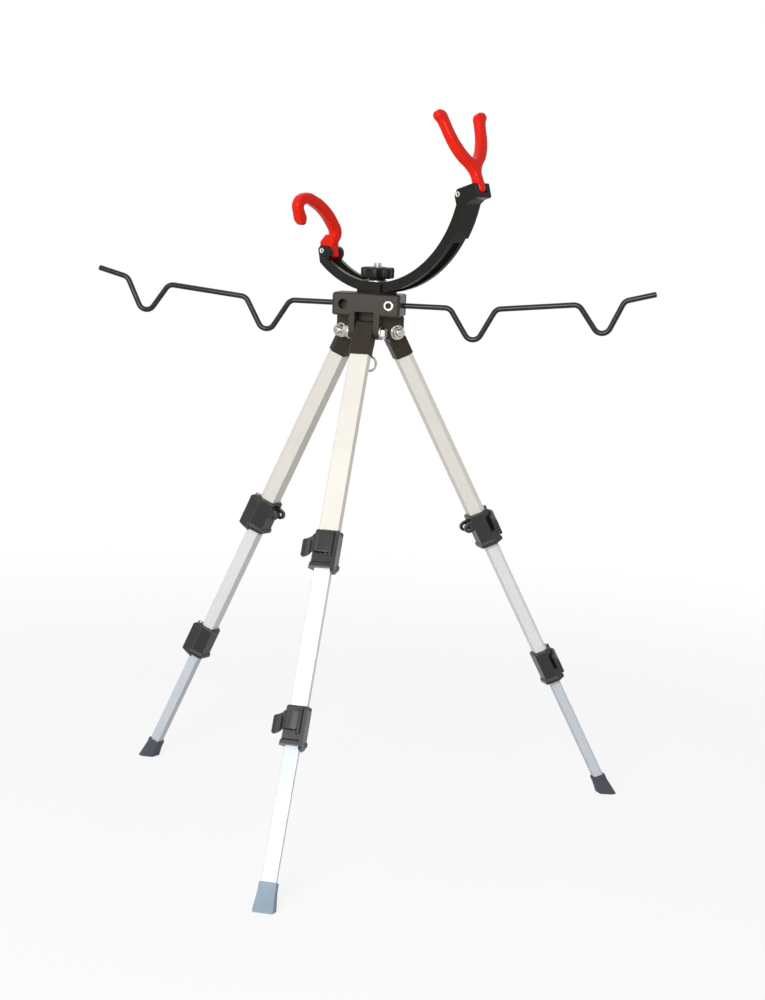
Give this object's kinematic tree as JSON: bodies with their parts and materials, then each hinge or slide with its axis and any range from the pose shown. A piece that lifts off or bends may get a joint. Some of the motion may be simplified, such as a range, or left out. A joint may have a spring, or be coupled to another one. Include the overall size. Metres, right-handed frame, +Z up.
{
  "type": "surf rod tripod",
  "caption": "Tripod rod holder for shore fishing: telescopic legs, two bent wire rod rests and a swivelling curved cradle with a folding hook and fork.",
  "frame": {"origin": "centre of the whole tripod's bounding box, on the ground", "axes": "+Z up, +X along the wire rod rests towards the clamp screw, front leg towards -Y"},
  "size_m": [0.5152, 0.4314, 0.6531],
  "materials": {
    "black_plastic": "satin moulded",
    "red_plastic": "gloss moulded",
    "anodised_tube": "pale satin anodised",
    "zinc_steel": "bright zinc plated",
    "black_wire": "gloss black coated",
    "rubber": "matt moulded"
  },
  "bodies": {
    "head": {"head_block": "black_plastic", "clamp_screw": "zinc_steel", "swivel_stud": "zinc_steel", "screw_eye": "zinc_steel", "front_hinge_bolt": "zinc_steel", "right_hinge_bolt": "zinc_steel", "left_hinge_bolt": "zinc_steel"},
    "left_rod_rest": {"left_rod_rest": "black_wire"},
    "right_rod_rest": {"right_rod_rest": "black_wire"},
    "cradle": {"cradle_saddle": "black_plastic", "cradle_arc": "black_plastic", "swivel_washer": "zinc_steel", "hook_rivet": "zinc_steel", "fork_rivet": "zinc_steel"},
    "knob": {"swivel_knob": "black_plastic"},
    "hook": {"butt_hook": "red_plastic"},
    "fork": {"rod_fork": "red_plastic"},
    "ring": {"hanging_ring": "zinc_steel"},
    "front_upper_leg": {"front_leg_cap": "black_plastic", "front_upper_tube": "anodised_tube", "front_upper_lock": "black_plastic", "front_upper_lock_pin": "zinc_steel"},
    "front_upper_lever": {"front_upper_lever": "black_plastic"},
    "front_middle_leg": {"front_middle_tube": "anodised_tube", "front_lower_lock": "black_plastic", "front_lower_lock_pin": "zinc_steel"},
    "front_lower_lever": {"front_lower_lever": "black_plastic"},
    "front_lower_leg": {"front_lower_tube": "anodised_tube", "front_foot": "rubber"},
    "right_upper_leg": {"right_leg_cap": "black_plastic", "right_upper_tube": "anodised_tube", "right_upper_lock": "black_plastic", "right_upper_lock_pin": "zinc_steel"},
    "right_upper_lever": {"right_upper_lever": "black_plastic"},
    "right_middle_leg": {"right_middle_tube": "anodised_tube", "right_lower_lock": "black_plastic", "right_lower_lock_pin": "zinc_steel"},
    "right_lower_lever": {"right_lower_lever": "black_plastic"},
    "right_lower_leg": {"right_lower_tube": "anodised_tube", "right_foot": "rubber"},
    "left_upper_leg": {"left_leg_cap": "black_plastic", "left_upper_tube": "anodised_tube", "left_upper_lock": "black_plastic", "left_upper_lock_pin": "zinc_steel"},
    "left_upper_lever": {"left_upper_lever": "black_plastic"},
    "left_middle_leg": {"left_middle_tube": "anodised_tube", "left_lower_lock": "black_plastic", "left_lower_lock_pin": "zinc_steel"},
    "left_lower_lever": {"left_lower_lever": "black_plastic"},
    "left_lower_leg": {"left_lower_tube": "anodised_tube", "left_foot": "rubber"}
  },
  "joints": [
    {"name": "left_rest_turn", "type": "hinge", "parent": "head", "child": "left_rod_rest", "pos_m": [-0.031, 0.05107, 0.48124], "axis": [1, 0, 0], "range_deg": [-90, 90]},
    {"name": "right_rest_turn", "type": "hinge", "parent": "head", "child": "right_rod_rest", "pos_m": [0.031, 0.05107, 0.48124], "axis": [1, 0, 0], "range_deg": [-90, 90]},
    {"name": "cradle_swivel", "type": "hinge", "parent": "head", "child": "cradle", "pos_m": [0.0065, 0.05107, 0.49134], "axis": [0, 0, 1], "continuous": true},
    {"name": "knob_turn", "type": "hinge", "parent": "cradle", "child": "knob", "pos_m": [0.0065, 0.05107, 0.50645], "axis": [0, 0, 1], "continuous": true},
    {"name": "hook_fold", "type": "hinge", "parent": "cradle", "child": "hook", "pos_m": [-0.04682, 0.08439, 0.52632], "axis": [-0.5299, -0.848, 0], "range_deg": [0, 95]},
    {"name": "fork_fold", "type": "hinge", "parent": "cradle", "child": "fork", "pos_m": [0.0915, -0.00204, 0.58248], "axis": [-0.5299, -0.848, 0], "range_deg": [0, 95]},
    {"name": "ring_swing", "type": "hinge", "parent": "head", "child": "ring", "pos_m": [0, 0.05707, 0.43505], "axis": [1, 0, 0], "range_deg": [-60, 60]},
    {"name": "front_leg_fold", "type": "hinge", "parent": "head", "child": "front_upper_leg", "pos_m": [-0.00084, 0.0411, 0.45654], "axis": [0.9986, -0.0523, 0], "range_deg": [0, 24.5]},
    {"name": "front_middle_slide", "type": "slide", "parent": "front_upper_leg", "child": "front_middle_leg", "axis": [0.025, 0.4765, 0.8788], "range_m": [0, 0.1165]},
    {"name": "front_lower_slide", "type": "slide", "parent": "front_middle_leg", "child": "front_lower_leg", "axis": [0.025, 0.4765, 0.8788], "range_m": [0, 0.1085]},
    {"name": "front_upper_lever_flip", "type": "hinge", "parent": "front_upper_leg", "child": "front_upper_lever", "pos_m": [-0.00043, -0.06961, 0.2776], "axis": [0.025, 0.4765, 0.8788], "range_deg": [0, 90]},
    {"name": "front_lower_lever_flip", "type": "hinge", "parent": "front_middle_leg", "child": "front_lower_lever", "pos_m": [-0.00567, -0.14288, 0.1394], "axis": [0.025, 0.4765, 0.8788], "range_deg": [0, 90]},
    {"name": "right_leg_fold", "type": "hinge", "parent": "head", "child": "right_upper_leg", "pos_m": [0.01761, 0.06851, 0.45654], "axis": [-0.5446, 0.8387, 0], "range_deg": [0, 24.5]},
    {"name": "right_middle_slide", "type": "slide", "parent": "right_upper_leg", "child": "right_middle_leg", "axis": [-0.4002, -0.2599, 0.8788], "range_m": [0, 0.1165]},
    {"name": "right_lower_slide", "type": "slide", "parent": "right_middle_leg", "child": "right_lower_leg", "axis": [-0.4002, -0.2599, 0.8788], "range_m": [0, 0.1085]},
    {"name": "right_upper_lever_flip", "type": "hinge", "parent": "right_upper_leg", "child": "right_upper_lever", "pos_m": [0.10693, 0.13391, 0.2776], "axis": [-0.4002, -0.2599, 0.8788], "range_deg": [0, 90]},
    {"name": "right_lower_lever_flip", "type": "hinge", "parent": "right_middle_leg", "child": "right_lower_lever", "pos_m": [0.16929, 0.17274, 0.1394], "axis": [-0.4002, -0.2599, 0.8788], "range_deg": [0, 90]},
    {"name": "left_leg_fold", "type": "hinge", "parent": "head", "child": "left_upper_leg", "pos_m": [-0.01871, 0.06661, 0.45654], "axis": [-0.454, -0.891, 0], "range_deg": [0, 24.5]},
    {"name": "left_middle_slide", "type": "slide", "parent": "left_upper_leg", "child": "left_middle_leg", "axis": [0.4252, -0.2166, 0.8788], "range_m": [0, 0.1165]},
    {"name": "left_lower_slide", "type": "slide", "parent": "left_middle_leg", "child": "left_lower_leg", "axis": [0.4252, -0.2166, 0.8788], "range_m": [0, 0.1085]},
    {"name": "left_upper_lever_flip", "type": "hinge", "parent": "left_upper_leg", "child": "left_upper_lever", "pos_m": [-0.12001, 0.11126, 0.2776], "axis": [0.4252, -0.2166, 0.8788], "range_deg": [0, 90]},
    {"name": "left_lower_lever_flip", "type": "hinge", "parent": "left_middle_leg", "child": "left_lower_lever", "pos_m": [-0.18481, 0.14585, 0.1394], "axis": [0.4252, -0.2166, 0.8788], "range_deg": [0, 90]}
  ]
}
